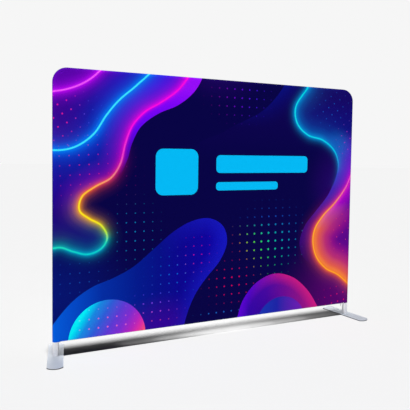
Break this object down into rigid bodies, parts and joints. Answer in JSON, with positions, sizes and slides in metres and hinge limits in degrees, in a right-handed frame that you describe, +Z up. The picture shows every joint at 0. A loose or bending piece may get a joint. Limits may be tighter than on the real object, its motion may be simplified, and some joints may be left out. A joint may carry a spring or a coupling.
{
  "type": "tension fabric backdrop stand",
  "caption": "Straight tension-fabric backdrop stand: a printed stretch cover zipped over a round-tube frame that stands on flat swivelling plate feet.",
  "frame": {"origin": "on the floor, midway between the posts and in the plane of the frame", "axes": "+X to the right as seen from the printed front, +Y to the back, +Z up"},
  "size_m": [3.1468, 0.4948, 2.3],
  "materials": {
    "frame_tube": "satin silver tube",
    "foot_paint": "silver-grey powder coat",
    "grip_pad": "ribbed soft grip pad",
    "turned_plug": "turned",
    "screw_zinc": "zinc plated",
    "snap_button": "nickel plated",
    "spring_steel": "tempered spring strip",
    "printed_cloth": "printed stretch knit",
    "lining_cloth": "plain white stretch knit",
    "zip_tape": "woven tape",
    "zip_teeth": "nylon",
    "zip_metal": "cast, silver enamel"
  },
  "bodies": {
    "frame": {"back_cover": "lining_cloth", "back_zip_coil": "zip_teeth", "back_zip_tape": "zip_tape", "bottom_centre_tee": "frame_tube", "button_springs": "spring_steel", "front_cover": "printed_cloth", "front_zip_coil": "zip_teeth", "front_zip_tape": "zip_tape", "left_bottom_rail": "frame_tube", "left_corner_tube": "frame_tube", "left_lower_upright": "frame_tube", "left_top_rail": "frame_tube", "left_upper_upright": "frame_tube", "left_zip_stop": "zip_teeth", "lower_centre_pole": "frame_tube", "right_bottom_rail": "frame_tube", "right_corner_tube": "frame_tube", "right_lower_upright": "frame_tube", "right_top_rail": "frame_tube", "right_upper_upright": "frame_tube", "right_zip_stop": "zip_teeth", "top_centre_tee": "frame_tube", "upper_centre_pole": "frame_tube"},
    "left_foot": {"left_foot_plate": "foot_paint", "left_foot_screw": "screw_zinc", "left_foot_spigot": "turned_plug", "left_front_foot_pad": "grip_pad", "left_rear_foot_pad": "grip_pad"},
    "right_foot": {"right_foot_plate": "foot_paint", "right_foot_screw": "screw_zinc", "right_foot_spigot": "turned_plug", "right_front_foot_pad": "grip_pad", "right_rear_foot_pad": "grip_pad"},
    "zip_slider": {"zip_slider": "zip_metal"},
    "zip_pull": {"zip_pull": "zip_metal"},
    "left_bottom_inner_button": {"left_bottom_inner_button": "snap_button"},
    "left_bottom_outer_button": {"left_bottom_outer_button": "snap_button"},
    "left_corner_button": {"left_corner_button": "snap_button"},
    "left_post_button": {"left_post_button": "snap_button"},
    "left_top_inner_button": {"left_top_inner_button": "snap_button"},
    "left_top_outer_button": {"left_top_outer_button": "snap_button"},
    "pole_bottom_button": {"pole_bottom_button": "snap_button"},
    "pole_middle_button": {"pole_middle_button": "snap_button"},
    "pole_top_button": {"pole_top_button": "snap_button"},
    "right_bottom_inner_button": {"right_bottom_inner_button": "snap_button"},
    "right_bottom_outer_button": {"right_bottom_outer_button": "snap_button"},
    "right_corner_button": {"right_corner_button": "snap_button"},
    "right_post_button": {"right_post_button": "snap_button"},
    "right_top_inner_button": {"right_top_inner_button": "snap_button"},
    "right_top_outer_button": {"right_top_outer_button": "snap_button"}
  },
  "joints": [
    {"name": "left_foot_swivel", "type": "hinge", "parent": "frame", "child": "left_foot", "pos_m": [-1.4742, 0, 0.05], "axis": [0, 0, 1], "range_deg": [-80, 100]},
    {"name": "right_foot_swivel", "type": "hinge", "parent": "frame", "child": "right_foot", "pos_m": [1.4742, 0, 0.05], "axis": [0, 0, 1], "range_deg": [-100, 80]},
    {"name": "zip_slide", "type": "slide", "parent": "frame", "child": "zip_slider", "axis": [-1, 0, 0], "range_m": [0, 2.84]},
    {"name": "zip_pull_swing", "type": "hinge", "parent": "zip_slider", "child": "zip_pull", "pos_m": [1.42, 0, 0.1114], "axis": [0, 1, 0], "range_deg": [-80, 80]},
    {"name": "left_post_press", "type": "slide", "parent": "frame", "child": "left_post_button", "axis": [-1, 0, 0], "range_m": [0, 0.005], "stiffness_N_per_m": 800, "springref_m": -0.006, "deforming": ["button_springs"]},
    {"name": "left_corner_press", "type": "slide", "parent": "frame", "child": "left_corner_button", "axis": [-1, 0, 0], "range_m": [0, 0.005], "stiffness_N_per_m": 800, "springref_m": -0.006, "deforming": ["button_springs"]},
    {"name": "left_top_outer_press", "type": "slide", "parent": "frame", "child": "left_top_outer_button", "axis": [0, 0, 1], "range_m": [0, 0.005], "stiffness_N_per_m": 800, "springref_m": -0.006, "deforming": ["button_springs"]},
    {"name": "left_top_inner_press", "type": "slide", "parent": "frame", "child": "left_top_inner_button", "axis": [0, 0, 1], "range_m": [0, 0.005], "stiffness_N_per_m": 800, "springref_m": -0.006, "deforming": ["button_springs"]},
    {"name": "left_bottom_outer_press", "type": "slide", "parent": "frame", "child": "left_bottom_outer_button", "axis": [0, 0, -1], "range_m": [0, 0.005], "stiffness_N_per_m": 800, "springref_m": -0.006, "deforming": ["button_springs"]},
    {"name": "left_bottom_inner_press", "type": "slide", "parent": "frame", "child": "left_bottom_inner_button", "axis": [0, 0, -1], "range_m": [0, 0.005], "stiffness_N_per_m": 800, "springref_m": -0.006, "deforming": ["button_springs"]},
    {"name": "right_post_press", "type": "slide", "parent": "frame", "child": "right_post_button", "axis": [1, 0, 0], "range_m": [0, 0.005], "stiffness_N_per_m": 800, "springref_m": -0.006, "deforming": ["button_springs"]},
    {"name": "right_corner_press", "type": "slide", "parent": "frame", "child": "right_corner_button", "axis": [1, 0, 0], "range_m": [0, 0.005], "stiffness_N_per_m": 800, "springref_m": -0.006, "deforming": ["button_springs"]},
    {"name": "right_top_outer_press", "type": "slide", "parent": "frame", "child": "right_top_outer_button", "axis": [0, 0, 1], "range_m": [0, 0.005], "stiffness_N_per_m": 800, "springref_m": -0.006, "deforming": ["button_springs"]},
    {"name": "right_top_inner_press", "type": "slide", "parent": "frame", "child": "right_top_inner_button", "axis": [0, 0, 1], "range_m": [0, 0.005], "stiffness_N_per_m": 800, "springref_m": -0.006, "deforming": ["button_springs"]},
    {"name": "right_bottom_outer_press", "type": "slide", "parent": "frame", "child": "right_bottom_outer_button", "axis": [0, 0, -1], "range_m": [0, 0.005], "stiffness_N_per_m": 800, "springref_m": -0.006, "deforming": ["button_springs"]},
    {"name": "right_bottom_inner_press", "type": "slide", "parent": "frame", "child": "right_bottom_inner_button", "axis": [0, 0, -1], "range_m": [0, 0.005], "stiffness_N_per_m": 800, "springref_m": -0.006, "deforming": ["button_springs"]},
    {"name": "pole_bottom_press", "type": "slide", "parent": "frame", "child": "pole_bottom_button", "axis": [-1, 0, 0], "range_m": [0, 0.005], "stiffness_N_per_m": 800, "springref_m": -0.006, "deforming": ["button_springs"]},
    {"name": "pole_middle_press", "type": "slide", "parent": "frame", "child": "pole_middle_button", "axis": [-1, 0, 0], "range_m": [0, 0.005], "stiffness_N_per_m": 800, "springref_m": -0.006, "deforming": ["button_springs"]},
    {"name": "pole_top_press", "type": "slide", "parent": "frame", "child": "pole_top_button", "axis": [-1, 0, 0], "range_m": [0, 0.005], "stiffness_N_per_m": 800, "springref_m": -0.006, "deforming": ["button_springs"]}
  ]
}
